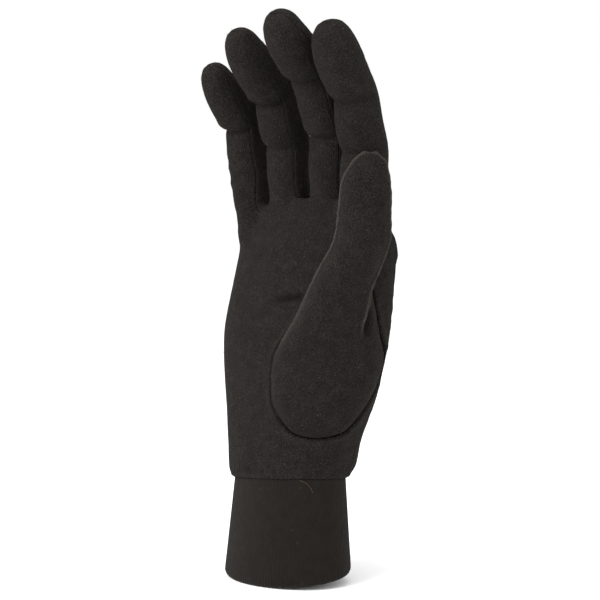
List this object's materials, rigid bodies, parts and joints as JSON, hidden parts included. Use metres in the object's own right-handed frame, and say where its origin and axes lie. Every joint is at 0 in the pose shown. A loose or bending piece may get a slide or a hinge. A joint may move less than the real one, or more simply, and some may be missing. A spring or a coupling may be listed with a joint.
{
  "type": "glove liner",
  "caption": "Plain knitted glove liner for a right hand in its relaxed worn form: palm and back panels, strips between the fingers, an inset thumb and a ribbed cuff.",
  "frame": {"origin": "the middle of the cuff's mouth, where the wrist goes in", "axes": "+Z from the cuff's mouth to the fingertips, -Y the palm side, +X the thumb side"},
  "size_m": [0.1114, 0.062, 0.2593],
  "materials": {
    "jersey_knit": "brushed charcoal jersey, matt with a faint fuzz",
    "rib_knit": "fine rib knit, matt, a little browner than the jersey"
  },
  "bodies": {
    "root": {"palm_panel": "jersey_knit", "back_panel": "jersey_knit", "fourchette_index_middle": "jersey_knit", "fourchette_middle_ring": "jersey_knit", "fourchette_ring_little": "jersey_knit", "thumb_front": "jersey_knit", "thumb_back": "jersey_knit", "cuff": "rib_knit"}
  },
  "joints": []
}
